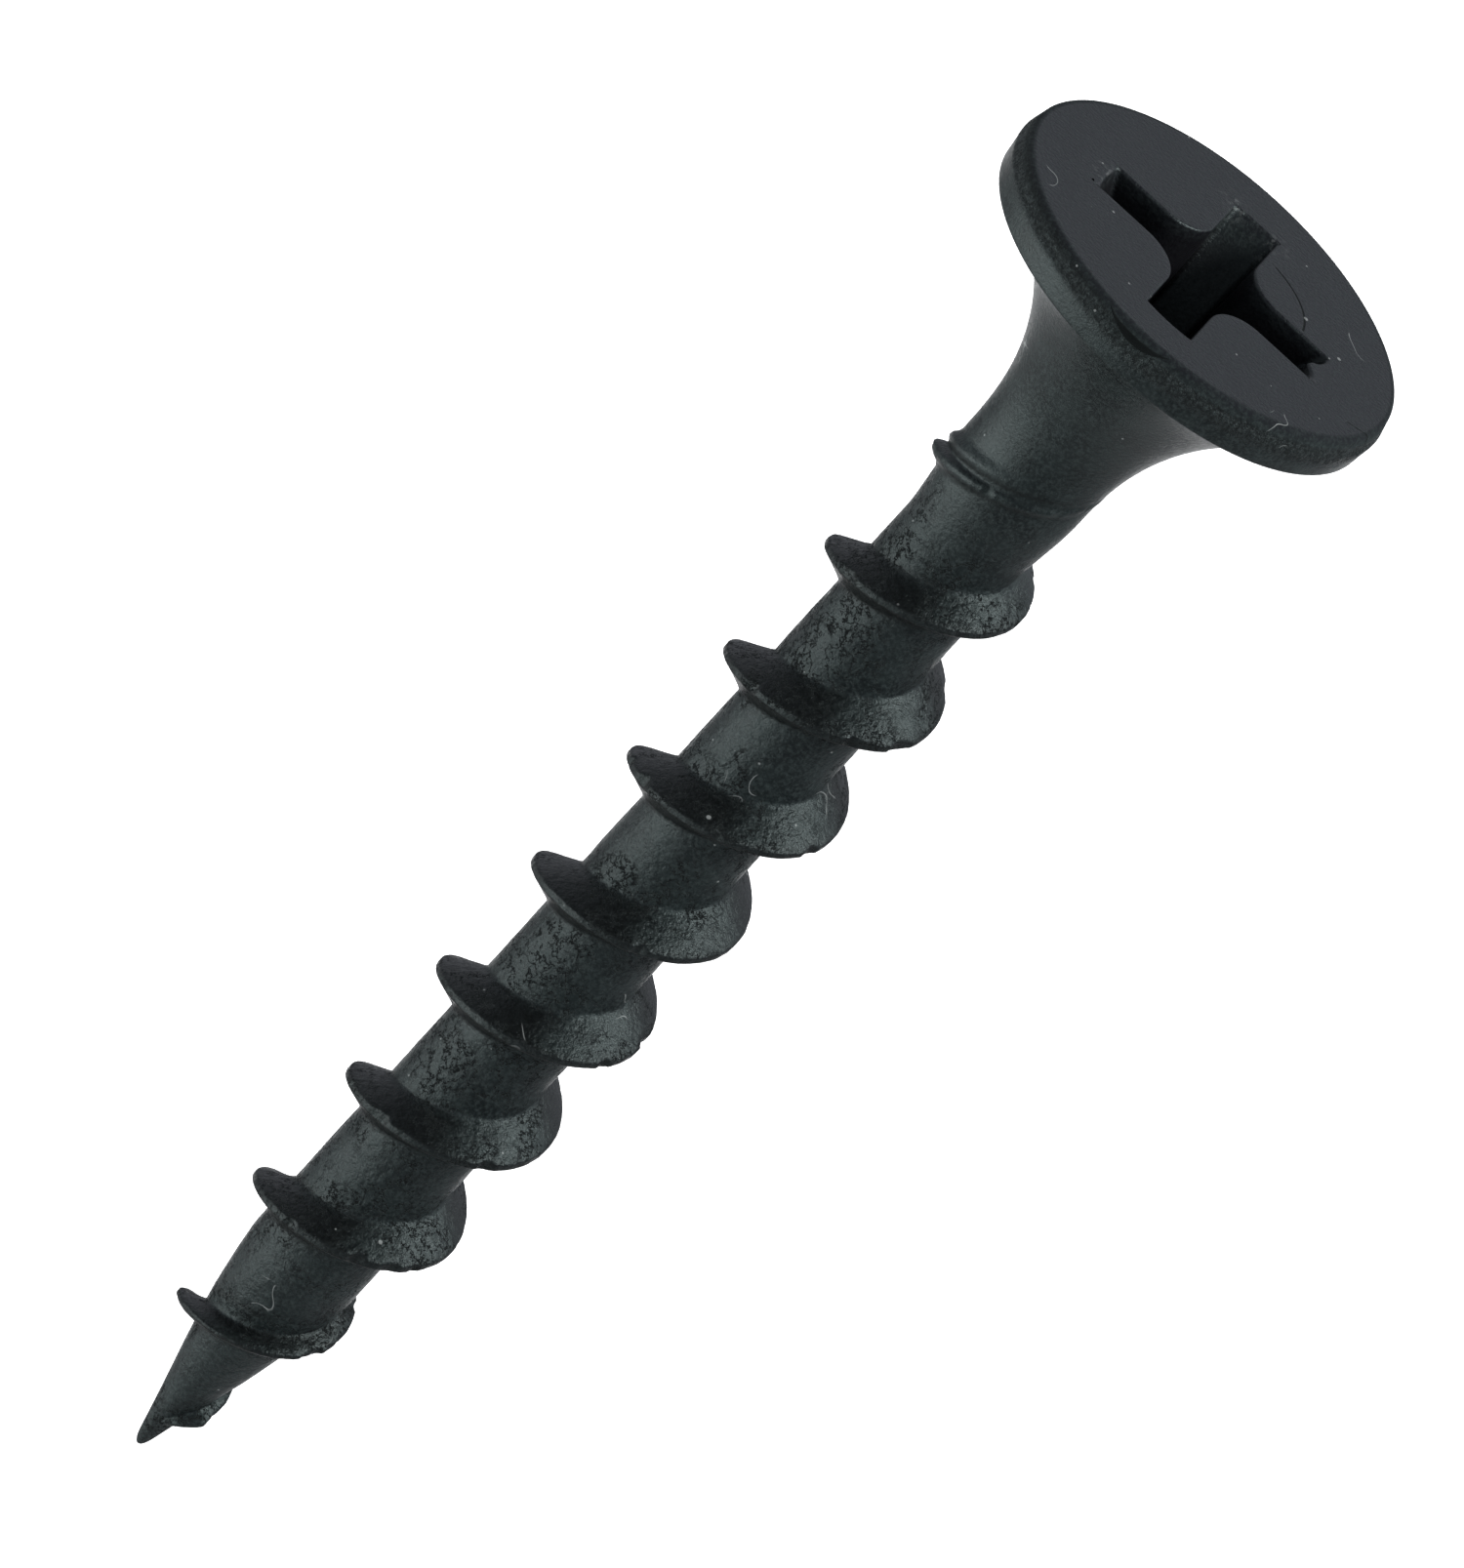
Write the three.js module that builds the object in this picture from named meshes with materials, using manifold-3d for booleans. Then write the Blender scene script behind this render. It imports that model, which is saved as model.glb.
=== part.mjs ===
// A coarse-thread wood screw with a bugle head and a cross recess, in millimetres, +Z up.
// The origin is the centre of the flat head face. +Z points out of the head, along the screw's axis,
// so the whole screw lies below the origin and its point is at z = -SCREW_LENGTH.
// The recess's four wings point along +X, -X, +Y and -Y.

import * as THREE from 'three';
import { mergeVertices } from 'three/addons/utils/BufferGeometryUtils.js';
import Module from 'manifold-3d';

// Driving dimensions. A depth is a distance below the head face.
const SCREW_LENGTH = 31.67;
const HEAD_DIAMETER = 8.1;
const FACE_DIAMETER = 7.84;
const WIDEST_DEPTH = 0.37;
const RIM_EDGE_DIAMETER = 7.98;
const RIM_EDGE_DEPTH = 0.9;
const BUGLE_TOP_DIAMETER = 6.8;
const BUGLE_POWER = 2.4;
const NECK_DIAMETER = 2.6;
const NECK_DEPTH = 5.25;
const ROOT_DIAMETER = 2.26;
const ROOT_DEPTH = 7.3;
const POINT_LENGTH = 5.3;
const POINT_POWER = 1.4;

// The thread: one start, right-hand, nine turns to the inch.
const THREADS_PER_INCH = 9;
const PITCH = 25.4 / THREADS_PER_INCH;
const THREAD_DIAMETER = 3.7;
const CREST_WIDTH = 0.14;
const UPPER_FLANK_RUN = 0.665;
const LOWER_FLANK_RUN = 0.58;
const FIRST_CREST_DEPTH = 7.35;
// Radius of the crest against turns below the first full crest: it rises out of the neck at the top,
// and sinks into the point at the bottom.
const CREST_LINE = [
  [-1, 1.3],
  [-0.75, 1.36],
  [-0.5, 1.47],
  [0, 1.69],
  [1, THREAD_DIAMETER / 2],
  [5.5, THREAD_DIAMETER / 2],
  [6.5, 1.76],
  [7, 1.4],
  [7.5, 1.34],
  [8, 0.7],
  [8.35, 0.2],
];
// The ridge's foot lies at this share of the wire's radius, buried inside the wire.
const BURIED_SHARE = 0.55;
const RIDGE_CORNERS = 4;

// The recess: a cross whose wings slope in towards a blunt conical floor.
const WINGS = 4;
const WING_SPAN = 5.3;
const WING_WIDTH = 1.06;
const WING_FILLET = 0.85;
const WING_SLOPE = THREE.MathUtils.degToRad(26.5);
const RECESS_DEPTH = 2.9;
const RECESS_FLOOR_DEPTH = 3.3;

// How finely round shapes are cut.
const SIDES = 40;
const STEPS_PER_TURN = 36;
const BUGLE_STEPS = 12;
const ROOT_STEPS = 10;
const POINT_STEPS = 9;
const FILLET_STEPS = 6;

// How far a cutter reaches past the face that it opens.
const CUT_MARGIN = 0.5;
// Vertices closer than this are joined.
const MERGE_DISTANCE = 1e-5;

const wasm = await Module();
wasm.setup();

const phosphate = new THREE.MeshStandardMaterial({
  color: new THREE.Color(0.045, 0.05, 0.052),
  roughness: 0.5,
  metalness: 0.3,
});

// A closed three.js geometry as a solid that can be joined and cut.
function toSolid(geometry) {
  const bare = geometry.clone();
  bare.deleteAttribute('normal');
  bare.deleteAttribute('uv');
  const merged = mergeVertices(bare, MERGE_DISTANCE);
  const vertProperties = new Float32Array(merged.getAttribute('position').array);
  const triVerts = new Uint32Array(merged.getIndex().array);
  return new wasm.Manifold(new wasm.Mesh({ numProp: 3, vertProperties, triVerts }));
}

function toGeometry(solid) {
  const mesh = solid.getMesh();
  const geometry = new THREE.BufferGeometry();
  geometry.setAttribute('position', new THREE.BufferAttribute(mesh.vertProperties, mesh.numProp));
  geometry.setIndex(new THREE.BufferAttribute(mesh.triVerts, 1));
  geometry.computeVertexNormals();
  return geometry;
}

// A profile of [radius, depth] pairs, turned about the screw's axis. The pairs start on the axis at the
// top and end on it at the bottom.
function turned(profile) {
  const points = profile.map(([radius, depth]) => new THREE.Vector2(radius, -depth)).reverse();
  return new THREE.LatheGeometry(points, SIDES).rotateX(Math.PI / 2);
}

function clampedShare(value, start, end) {
  return THREE.MathUtils.clamp((value - start) / (end - start), 0, 1);
}

// Radius of the bugle flare and neck, between the rim's lower edge and the neck.
function bugleRadius(depth) {
  const left = 1 - clampedShare(depth, RIM_EDGE_DEPTH, NECK_DEPTH);
  return (NECK_DIAMETER + (BUGLE_TOP_DIAMETER - NECK_DIAMETER) * left ** BUGLE_POWER) / 2;
}

// Radius of the wire under the thread, from the neck to the tip of the point.
function shankRadius(depth) {
  const narrowing = clampedShare(depth, NECK_DEPTH, ROOT_DEPTH);
  const straight = THREE.MathUtils.lerp(NECK_DIAMETER, ROOT_DIAMETER, narrowing) / 2;
  const sharpening = clampedShare(depth, SCREW_LENGTH - POINT_LENGTH, SCREW_LENGTH);
  return straight * (1 - sharpening ** POINT_POWER);
}

// The head, neck, shank and point, without the thread and the recess.
function blankProfile() {
  const profile = [
    [0, 0],
    [FACE_DIAMETER / 2, 0],
    [HEAD_DIAMETER / 2, WIDEST_DEPTH],
    [RIM_EDGE_DIAMETER / 2, RIM_EDGE_DEPTH],
  ];
  for (let step = 1; step <= BUGLE_STEPS; step += 1) {
    const depth = THREE.MathUtils.lerp(RIM_EDGE_DEPTH, NECK_DEPTH, step / BUGLE_STEPS);
    profile.push([bugleRadius(depth), depth]);
  }
  const pointDepth = SCREW_LENGTH - POINT_LENGTH;
  for (let step = 0; step < ROOT_STEPS; step += 1) {
    const depth = THREE.MathUtils.lerp(ROOT_DEPTH, pointDepth, step / ROOT_STEPS);
    profile.push([shankRadius(depth), depth]);
  }
  for (let step = 0; step < POINT_STEPS; step += 1) {
    const depth = THREE.MathUtils.lerp(pointDepth, SCREW_LENGTH, step / POINT_STEPS);
    profile.push([shankRadius(depth), depth]);
  }
  profile.push([0, SCREW_LENGTH]);
  return profile;
}

// A solid of revolution for the head, neck, shank and point.
function makeBlank() {
  return toSolid(turned(blankProfile()));
}

function crestRadius(turn) {
  const next = CREST_LINE.findIndex(([knotTurn], index) => index > 0 && knotTurn >= turn);
  const [startTurn, startRadius] = CREST_LINE.at(next - 1);
  const [endTurn, endRadius] = CREST_LINE.at(next);
  return THREE.MathUtils.lerp(startRadius, endRadius, clampedShare(turn, startTurn, endTurn));
}

// The ridge's section in the half-plane that holds the axis, as four corners from the lower foot to
// the upper foot.
function ridgeSection(turn) {
  const depth = FIRST_CREST_DEPTH + PITCH * turn;
  const angle = -2 * Math.PI * turn;
  const crest = crestRadius(turn);
  const foot = BURIED_SHARE * shankRadius(depth);
  const lowerFoot = -CREST_WIDTH / 2 - LOWER_FLANK_RUN * (crest - foot);
  const upperFoot = CREST_WIDTH / 2 + UPPER_FLANK_RUN * (crest - foot);
  const corners = [
    [foot, lowerFoot],
    [crest, -CREST_WIDTH / 2],
    [crest, CREST_WIDTH / 2],
    [foot, upperFoot],
  ];
  return corners.flatMap(([radius, rise]) => [
    radius * Math.cos(angle),
    radius * Math.sin(angle),
    rise - depth,
  ]);
}

// The thread as one helical ridge, closed at both ends inside the wire.
function makeRidge() {
  const firstTurn = CREST_LINE.at(0)[0];
  const lastTurn = CREST_LINE.at(-1)[0];
  const steps = Math.ceil((lastTurn - firstTurn) * STEPS_PER_TURN);
  const positions = [];
  const triangles = [];
  for (let step = 0; step <= steps; step += 1) {
    positions.push(...ridgeSection(THREE.MathUtils.lerp(firstTurn, lastTurn, step / steps)));
  }
  for (let step = 0; step < steps; step += 1) {
    for (let corner = 0; corner < RIDGE_CORNERS; corner += 1) {
      const a = RIDGE_CORNERS * step + corner;
      const b = RIDGE_CORNERS * step + ((corner + 1) % RIDGE_CORNERS);
      const nextA = a + RIDGE_CORNERS;
      const nextB = b + RIDGE_CORNERS;
      triangles.push(a, b, nextA, b, nextB, nextA);
    }
  }
  const last = RIDGE_CORNERS * steps;
  triangles.push(0, 2, 1, 0, 3, 2);
  triangles.push(last, last + 1, last + 2, last, last + 2, last + 3);
  const geometry = new THREE.BufferGeometry();
  geometry.setAttribute('position', new THREE.Float32BufferAttribute(positions, 3));
  geometry.setIndex(triangles);
  return toSolid(geometry);
}

// The cross that the recess shows at the face: four wings, with the corners between them rounded.
function crossOutline() {
  const wing = WING_SPAN / 2 + CUT_MARGIN;
  const side = WING_WIDTH / 2;
  const bend = side + WING_FILLET;
  const outline = new THREE.Shape();
  for (let quarter = 0; quarter < WINGS; quarter += 1) {
    const turn = (quarter * 2 * Math.PI) / WINGS;
    const place = (x, y) => new THREE.Vector2(x, y).rotateAround(new THREE.Vector2(), turn);
    const start = place(wing, -side);
    const corner = place(wing, side);
    const centre = place(bend, bend);
    if (quarter === 0) {
      outline.moveTo(start.x, start.y);
    } else {
      outline.lineTo(start.x, start.y);
    }
    outline.lineTo(corner.x, corner.y);
    outline.absarc(centre.x, centre.y, WING_FILLET, turn - Math.PI / 2, turn - Math.PI, true);
  }
  return outline;
}

// The space that the recess takes out of the head.
function makeRecess() {
  const cross = new THREE.ExtrudeGeometry(crossOutline(), {
    depth: RECESS_FLOOR_DEPTH + 2 * CUT_MARGIN,
    bevelEnabled: false,
    curveSegments: FILLET_STEPS,
  });
  cross.translate(0, 0, -RECESS_FLOOR_DEPTH - CUT_MARGIN);
  const wingRadius = (depth) => WING_SPAN / 2 - depth * Math.tan(WING_SLOPE);
  const cone = turned([
    [0, -CUT_MARGIN],
    [wingRadius(-CUT_MARGIN), -CUT_MARGIN],
    [wingRadius(RECESS_DEPTH), RECESS_DEPTH],
    [0, RECESS_FLOOR_DEPTH],
  ]);
  return toSolid(cross).intersect(toSolid(cone));
}

function makeScrew() {
  const solid = makeBlank().add(makeRidge()).subtract(makeRecess());
  const screw = new THREE.Mesh(toGeometry(solid), phosphate);
  screw.name = 'screw';
  return screw;
}

const part = new THREE.Group();
part.add(makeScrew());

export default part;
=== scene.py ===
"""The looks of a black phosphate wood screw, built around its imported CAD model.

The screw's own frame is used throughout: the origin is the centre of the head face, +Z points out
of the head, and the point is at the bottom. Shapes are worked out in millimetres and written to the
mesh in metres.
"""

import math

import bpy
import numpy as np
from mathutils import Matrix, Vector


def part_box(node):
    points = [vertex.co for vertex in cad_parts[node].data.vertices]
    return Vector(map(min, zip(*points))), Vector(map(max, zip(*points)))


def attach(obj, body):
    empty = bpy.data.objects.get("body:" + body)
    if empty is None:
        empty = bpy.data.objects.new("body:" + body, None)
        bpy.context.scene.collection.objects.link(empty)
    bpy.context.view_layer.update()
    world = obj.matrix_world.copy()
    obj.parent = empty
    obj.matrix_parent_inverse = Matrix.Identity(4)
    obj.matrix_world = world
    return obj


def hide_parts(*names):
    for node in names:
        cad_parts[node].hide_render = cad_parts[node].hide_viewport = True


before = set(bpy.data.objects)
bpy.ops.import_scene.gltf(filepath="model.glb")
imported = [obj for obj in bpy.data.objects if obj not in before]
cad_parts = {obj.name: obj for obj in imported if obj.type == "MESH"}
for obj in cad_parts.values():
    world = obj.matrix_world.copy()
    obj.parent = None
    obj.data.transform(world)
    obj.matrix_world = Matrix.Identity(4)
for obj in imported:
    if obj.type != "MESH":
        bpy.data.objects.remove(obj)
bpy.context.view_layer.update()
node_low, node_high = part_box("screw")

MM = 0.001

# The screw's driving sizes, in millimetres. A depth is a distance below the head face.
LENGTH = -node_low.z / MM
HEAD_RADIUS = node_high.x / MM
FACE_RADIUS = HEAD_RADIUS - 0.07
WIDEST_DEPTH = 0.37
RIM_EDGE_RADIUS = HEAD_RADIUS - 0.06
RIM_EDGE_DEPTH = 0.9
BUGLE_TOP_RADIUS = 3.4
BUGLE_POWER = 2.4
BUGLE_FLARE = 0.4
BUGLE_FLARE_POWER = 13
NECK_RADIUS = 1.3
NECK_DEPTH = 5.25
ROOT_RADIUS = 1.13
ROOT_DEPTH = 7.3
POINT_LENGTH = 5.3
POINT_POWER = 1.4
POINT_ROUNDING = 0.045
POINT_ROUNDING_REACH = 0.4
POINT_BLUNTING = 0.11

# The thread. A rise is a height above the line that its crest follows.
PITCH = 25.4 / 9
CREST_RADIUS = 1.85
CREST_WIDTH = 0.14
UPPER_FLANK_RUN = 0.665
LOWER_FLANK_RUN = 0.58
FIRST_CREST_DEPTH = 7.35
CREST_ROUNDING = 0.03
ROOT_FILLET = 0.025
# Turns below the first full crest, and the crest's radius there.
CREST_TURNS = (-1, -0.75, -0.5, 0, 1, 5, 5.5, 6, 6.5, 7, 7.5, 8, 8.05, 8.25)
CREST_RADII = (1.3, 1.36, 1.5, 1.69, 1.85, 1.85, 1.77, 1.83, 1.75, 1.42, 1.35, 0.66, 0.7, 0.25)
CREST_LEAN = 0.02

# Near the point the thread thins and drifts towards the point, and its start lies nearer it too.
THINNING_TURNS = (6.1, 7.2)
UPPER_THINNING = 0.45
LOWER_THINNING = 0.5
CREST_DRIFT = 0.12
LAST_TURNS = (7.6, 8.1)
LAST_TURN_DRIFT = 0.08
STARTING_TURNS = (-0.4, 0.3)
START_DRIFT = 0.1

# A second, fainter ridge lies above the start of the thread.
SECOND_RIDGE_RISE = 0.38
SECOND_RIDGE_HEIGHT = 0.1
SECOND_RIDGE_WIDTH = 0.12
SECOND_RIDGE_TURNS = (-0.85, -0.6, -0.35, -0.15)

# Wear along the crest: how large its waves, chips and nibbles are, and how deep.
WAVE_SIZE = 0.9
WAVE_DEPTH = 0.015
CHIP_SIZE = 0.33
CHIP_DEPTH = 0.22
CHIP_THRESHOLD = 0.4
NIBBLE_SIZE = 0.1
NIBBLE_DEPTH = 0.008
USUAL_WEAR = 0.02

# The rolled surface isn't quite even: the size, height and seed of its lumps.
LUMP_LAYERS = [(0.55, 0.007, 11), (0.2, 0.004, 12)]
LUMPS_FADE_IN = (5, 7)
LUMPS_FADE_OUT = (30, 31)

# The share of a turn, clockwise from +X, at the middle of the lit side, where the upper flank's painted
# shade is mostly left off.
LIT_FLANK_TURN = 0.1

# Lines of shade that follow the thread: each one's rise and width.
UPPER_EDGE_LINE = (0.6 * CREST_WIDTH, 0.035)
BRIGHT_CREST_LINE = (-0.02, 0.025)
FOOT_LINE = (0.48, 0.1)
START_LOWER_LINE = (-0.14, 0.05)
START_UPPER_LINE = (0.12, 0.04)
SECOND_RIDGE_LINE = (SECOND_RIDGE_RISE - 0.13, 0.05)
# Turns over which the shades of the full thread, and those of its start, come in and go out.
SHADES_IN = (-0.2, 0.2)
SHADES_OUT = (7.4, 7.7)
START_SHADES_IN = (-0.98, -0.8)
START_SHADES_OUT = (-0.3, 0)
# How far below the crest's line the painted shade on the underside comes in and goes out.
UNDERSIDE_IN = (0.3 * CREST_WIDTH, 0.6 * CREST_WIDTH)
UNDERSIDE_OUT = (0.42, 0.6)

# The shank stands a little off the head's axis: how far along X, and the depths it bends between.
SHANK_OFFSET = -0.05
SHANK_OFFSET_DEPTHS = (1, 5)

# The recess.
RECESS_CENTRE = (0.03, -0.13)
RECESS_STRETCH = (0.93, 1.04)
WING_REACH = 2.65
WING_HALF_WIDTH = 0.53
WING_FILLET = 0.85
WING_SLOPE = math.radians(26.5)
WALL_SLOPE = math.radians(1.5)
RECESS_DEPTH = 2.9
RECESS_FLOOR_DEPTH = 3.3

# Marks of wear and forming: a place, its reach along X, Y and Z, and how far it moves the metal.
DENTS = [
    # The driver's burr that splits the end of one wing.
    ((2.5, -0.22, 0), (0.25, 0.2, 0.4), (-0.22, 0, 0)),
    ((2.6, -0.72, 0), (0.2, 0.16, 0.3), (0.07, 0, 0)),
    ((2.5, 0.36, 0), (0.2, 0.14, 0.25), (0.06, 0, 0)),
    # A nick in the rim just below the face.
    ((-0.2, -4.05, -0.2), (0.5, 0.4, 0.14), (0, 0.09, 0)),
    ((-0.62, -3.95, -0.06), (0.2, 0.3, 0.1), (0, -0.04, 0)),
    # The torn start of the thread.
    ((-1.5, 0, -5.85), (0.25, 0.4, 0.18), (-0.1, 0, 0.03)),
]

# Pale crumbs of torn metal at the ends of three wings: a place and a reach.
BURRS = [
    ((-2.38, -0.15, -0.1), 0.28),
    ((-0.5, 2.6, -0.1), 0.22),
    ((0.5, 2.5, -0.15), 0.25),
]

# How the mesh is divided. Half a quarter of the recess runs along a wing's end, then its side, then
# the rounded corner, which takes at most CORNER_SHARE of the way. The whole screw is divided round
# its axis in the same way.
END_STEPS = 4
SIDE_STEPS = 12
CORNER_STEPS = 12
CORNER_SHARE = 0.55
ARC_SAMPLES = 100
COLUMNS = 8 * (END_STEPS + SIDE_STEPS + CORNER_STEPS)
FACE_ROWS = 22
BUGLE_ROWS = 44
WALL_ROWS = 12
BEVEL_ROWS = 9
RIM_ROWS = 7
UNDERSIDE_ROWS = 7
NOSE_ROWS = 8
FLOOR_SHARES = (0.25, 0.5, 0.75, 0.93)
LIP_ANGLES = (25, 50, 75)
FACE_EDGE_ANGLES = (12, 25, 38, 51, 64)
RIM_EDGE_ANGLES = (30, 60, 90)
THREAD_TOP_DEPTH = 4.4
TIP_DEPTH = LENGTH - POINT_BLUNTING
NOSE_DEPTH = TIP_DEPTH - 0.25

# The grid that follows the thread: its turns, which run past the threaded part at both ends, and
# the room it leaves to the level rings above and below it.
GRID_TURNS = np.arange(-3, 12)
GRID_GAP = 0.03

LIP_ROUNDING = 0.05
FACE_EDGE_ROUNDING = 0.09
RIM_EDGE_ROUNDING = 0.05
WIDEST_ROUNDING = 0.002
WIDEST_ROUNDING_REACH = 0.05

# Camera, in millimetres and degrees. It looks slightly down at the screw, which leans to the right.
CAMERA_ELEVATION = 27.316
CAMERA_LEAN = 42.4
CAMERA_CENTRE = (SHANK_OFFSET, 0, -15.706)
CAMERA_DISTANCE = 251.43
CAMERA_AIM = (SHANK_OFFSET - 0.096, 0.883, -14.0)
CAMERA_LENS = 327.6

# Phosphate colours. The pit and shade colour also paints shade on the thread and the rim.
PHOSPHATE_DARK = (0.003, 0.0045, 0.005, 1)
PHOSPHATE_LIGHT = (0.01, 0.0145, 0.0145, 1)
PHOSPHATE_CRYSTAL = (0.028, 0.037, 0.036, 1)
FACE_COLOUR = (0.007, 0.0065, 0.0095, 1)
PIT_AND_SHADE_COLOUR = (0.002, 0.0022, 0.0022, 1)
DUST_COLOUR = (0.35, 0.37, 0.36, 1)
# The recess's colour is painted shade.
RECESS_SHADE_COLOUR = (0.005, 0.0048, 0.006, 1)
SHEEN_COLOUR = (0.83, 1.0, 0.99, 1)

# Where the zones fade: depths, radii, and places along Y between which light reaches deeper into the
# recess's painted shade.
SHANK_DEPTHS = (5, 7)
FACE_DEPTHS = (0.01, 0.2)
EDGE_RADII = (FACE_RADIUS - 0.16, FACE_RADIUS - 0.06)
EDGE_DEPTHS = (0.1, 0.3)
RIM_BAND_START = (0.01, 0.07)
RIM_BAND_END = (0.3, 0.5)
RIM_BAND_DROP = 0.16
RIM_BAND_DROP_ANGLES = (-125, -85)
RECESS_SHADE_START = 0.01
RECESS_SHADE_DEPTH = 0.09
RECESS_LIGHT_DEPTH = 0.9
RECESS_LIGHT_PLACES = (1.3, 2.3)

# How fine the material's patterns are, in features per millimetre.
CRYSTALS_PER_MM = 13
FLECKS_PER_MM = 6
MOTTLES_PER_MM = 1.7
PIT_PATCHES_PER_MM = 0.8
CRACKS_PER_MM = 2.6
FINE_DUST_PER_MM = 2.3
COARSE_DUST_PER_MM = 1.1
LINT_PER_MM = 0.7
LINT_CURLS_PER_MM = 1.9

# How much of each overlay covers the metal's own colour.
FACE_SHARE = 0.8
CRYSTAL_SHARE = 0.8
DUST_SHARE = 0.6

ROUGHNESS = (0.32, 0.45)
DULL_ROUGHNESS = 0.95
SPECULAR_LEVEL = 0.3

# Heights in the bump, in millimetres. The flecks stand higher on the shank than on the head.
CRYSTAL_HEIGHT = 0.016
HEAD_FLECK_HEIGHT = 0.004
SHANK_FLECK_HEIGHT = 0.035
PIT_DEPTH = 0.02

# The curved scratch on the head face.
SCRATCH_CENTRE = (0.45, 0.4)
SCRATCH_RADIUS = 1.4
SCRATCH_HALF_WIDTH = 0.025

# The crescent of painted shade in the nick pressed into the front of the rim: the X and Z of its lowest
# point.
CRESCENT_PLACE = (-0.2, -0.24)
CRESCENT_BEND = 0.42
CRESCENT_HALF_LENGTH = 0.75
CRESCENT_HALF_WIDTH = 0.06

# The crease across the edge of the head face: the X and Y where it begins.
CREASE_START = (3.4, -1.02)
CREASE_SLOPE = 0.4
CREASE_HALF_WIDTH = 0.022

# Stage: metres and watts. The world is pale near the horizon and dark overhead.
FLOOR_HEIGHT = -0.28
FLOOR_HALF_WIDTH = 1.5
FLOOR_COLOUR = (0.62, 0.62, 0.62, 1)
WORLD_COLOUR = (0.88, 0.91, 1, 1)
HORIZON_STRENGTH = 0.5
ZENITH_STRENGTH = 0.02
ZENITH_BLEND = (0.56, 0.82)
AREA_LIGHTS = [
    ("front_left_light", (-0.28, -0.18, -0.16), (0.47, 0.15), 1.3),
    ("upper_right_light", (0.3, 0, 0.33), (0.2, 0.2), 2.5),
]
FLOOR_LIGHT_PLACE = (0, 0.51, 0.2)
FLOOR_LIGHT_WATTS = 24
FLOOR_LIGHT_CONE = 62
FLOOR_LIGHT_BLEND = 0.6
FLOOR_LIGHT_SIZE = 0.03


def smooth_step(value, start, end):
    share = np.clip((value - start) / (end - start), 0, 1)
    return share * share * (3 - 2 * share)


def smooth_min(a, b, size):
    blend = np.clip(0.5 + 0.5 * (b - a) / size, 0, 1)
    return b + (a - b) * blend - size * blend * (1 - blend)


def smooth_max(a, b, size):
    return -smooth_min(-a, -b, size)


def lattice_value(cell, seed):
    """A repeatable number from -1 to 1 for each whole-numbered lattice point."""
    mixed = cell[..., 0] * 374761393 + cell[..., 1] * 668265263 + cell[..., 2] * 1274126177
    mixed = (mixed + seed * 974711) & 0x7FFFFFFF
    mixed = ((mixed ^ (mixed >> 13)) * 1103515245) & 0x7FFFFFFF
    return ((mixed ^ (mixed >> 16)) & 0xFFFF) / 32767.5 - 1


def lumps(points, size, seed):
    """Smooth noise from -1 to 1 with lumps of the given size, at points in millimetres."""
    scaled = np.asarray(points) / size
    cell = np.floor(scaled).astype(np.int64)
    part = scaled - cell
    part = part * part * (3 - 2 * part)
    total = 0
    for corner in np.ndindex(2, 2, 2):
        step = np.array(corner)
        weight = np.prod(np.where(step == 1, part, 1 - part), axis=-1)
        total = total + weight * lattice_value(cell + step, seed)
    return total


# The outlines of the screw -----------------------------------------------------------------------


def bugle_radius(depth):
    left = 1 - np.clip((depth - RIM_EDGE_DEPTH) / (NECK_DEPTH - RIM_EDGE_DEPTH), 0, 1)
    curve = (BUGLE_TOP_RADIUS - NECK_RADIUS) * left**BUGLE_POWER
    return NECK_RADIUS + curve + BUGLE_FLARE * left**BUGLE_FLARE_POWER


def wire_radius(depth):
    """Radius of the bugle, neck, root and point, without the thread."""
    narrowing = np.clip((depth - NECK_DEPTH) / (ROOT_DEPTH - NECK_DEPTH), 0, 1)
    narrowing = narrowing * narrowing * (3 - 2 * narrowing)
    straight = bugle_radius(depth) + (ROOT_RADIUS - NECK_RADIUS) * narrowing
    to_go = np.clip((LENGTH - depth) / POINT_LENGTH, 0, 1)
    cone = straight * (1 - (1 - to_go) ** POINT_POWER)
    left = np.clip(TIP_DEPTH - depth, 0, None)
    return np.sqrt(cone**2 + 2 * POINT_ROUNDING * left * np.exp(-left / POINT_ROUNDING_REACH))


def crest_radius(turn):
    """Radius that the thread's flanks rise to."""
    smooth = np.interp(turn, CREST_TURNS, CREST_RADII, left=0, right=0)
    return smooth + CREST_LEAN * np.cos(2 * math.pi * turn)


def crest_wear(turn):
    """How much of the crest is missing, from the small chips and waves that forming left in it."""
    angle = 2 * math.pi * turn
    along = PITCH * turn
    track = np.stack([CREST_RADIUS * np.cos(angle), CREST_RADIUS * np.sin(angle), along], -1)
    waves = WAVE_DEPTH * (1 + lumps(track, WAVE_SIZE, seed=3))
    chips = CHIP_DEPTH * np.clip(lumps(track, CHIP_SIZE, seed=5) - CHIP_THRESHOLD, 0, None)
    nibbles = NIBBLE_DEPTH * (1 + lumps(track, NIBBLE_SIZE, seed=8))
    return waves + chips + nibbles - USUAL_WEAR


def second_ridge(turn, rise):
    """Height of the fainter ridge above the start of the thread."""
    start, full, still_full, end = SECOND_RIDGE_TURNS
    strength = smooth_step(turn, start, full) * (1 - smooth_step(turn, still_full, end))
    across = (rise - SECOND_RIDGE_RISE) / SECOND_RIDGE_WIDTH
    return SECOND_RIDGE_HEIGHT * strength * np.exp(-(across**2))


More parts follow.
